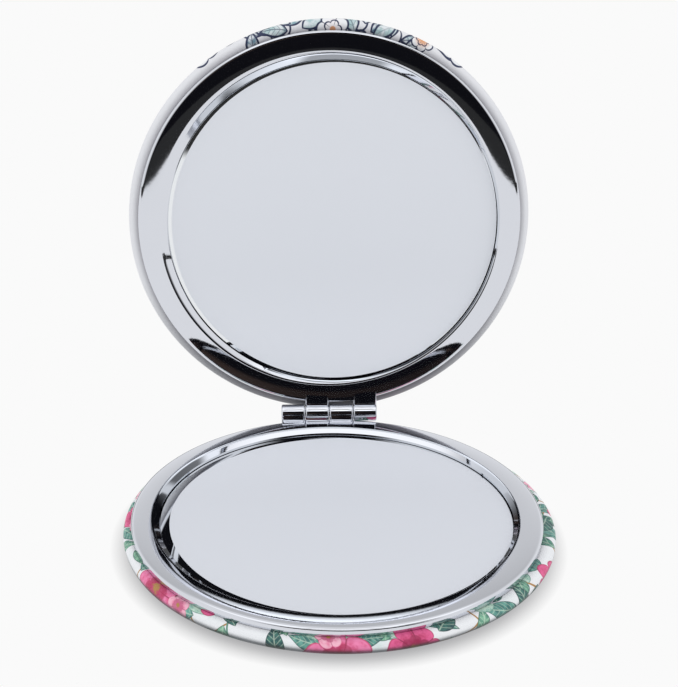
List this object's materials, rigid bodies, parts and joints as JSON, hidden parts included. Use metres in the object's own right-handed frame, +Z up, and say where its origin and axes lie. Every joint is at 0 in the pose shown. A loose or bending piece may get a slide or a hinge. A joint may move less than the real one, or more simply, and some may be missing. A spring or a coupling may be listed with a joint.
{
  "type": "compact mirror",
  "caption": "Round folding pocket mirror: two chromed pans, each with a round glass mirror and a printed leather back, joined by a knuckle hinge.",
  "frame": {"origin": "centre of the base's flat leather face, where the mirror rests on a table", "axes": "+Z up, out of the open base; -Y to the front, towards the user; +Y to the hinge; X along the hinge pin"},
  "size_m": [0.07, 0.0828, 0.0745],
  "materials": {
    "base_leather": "soft grained leatherette, white with a flower print in pinks, greens and gold, satin",
    "lid_leather": "soft grained leatherette, white with a navy line print filled in teal and apricot, satin",
    "frame": "polished chrome plate",
    "mirror": "silvered float glass",
    "tape": "white double-sided tape",
    "plate": "tin plate",
    "padding": "off-white foam",
    "pin": "bright drawn steel wire"
  },
  "bodies": {
    "base": {"base_cover": "base_leather", "base_padding": "padding", "base_backing_plate": "plate", "base_frame": "frame", "base_mirror_tape": "tape", "base_mirror": "mirror", "hinge_pin": "pin"},
    "lid": {"lid_cover": "lid_leather", "lid_padding": "padding", "lid_backing_plate": "plate", "lid_frame": "frame", "lid_mirror_tape": "tape", "lid_mirror": "mirror"}
  },
  "joints": [
    {"name": "lid_hinge", "type": "hinge", "parent": "base", "child": "lid", "pos_m": [0, 0.03515, 0.0051], "axis": [-1, 0, 0], "range_deg": [-96.7, 83.3]}
  ]
}
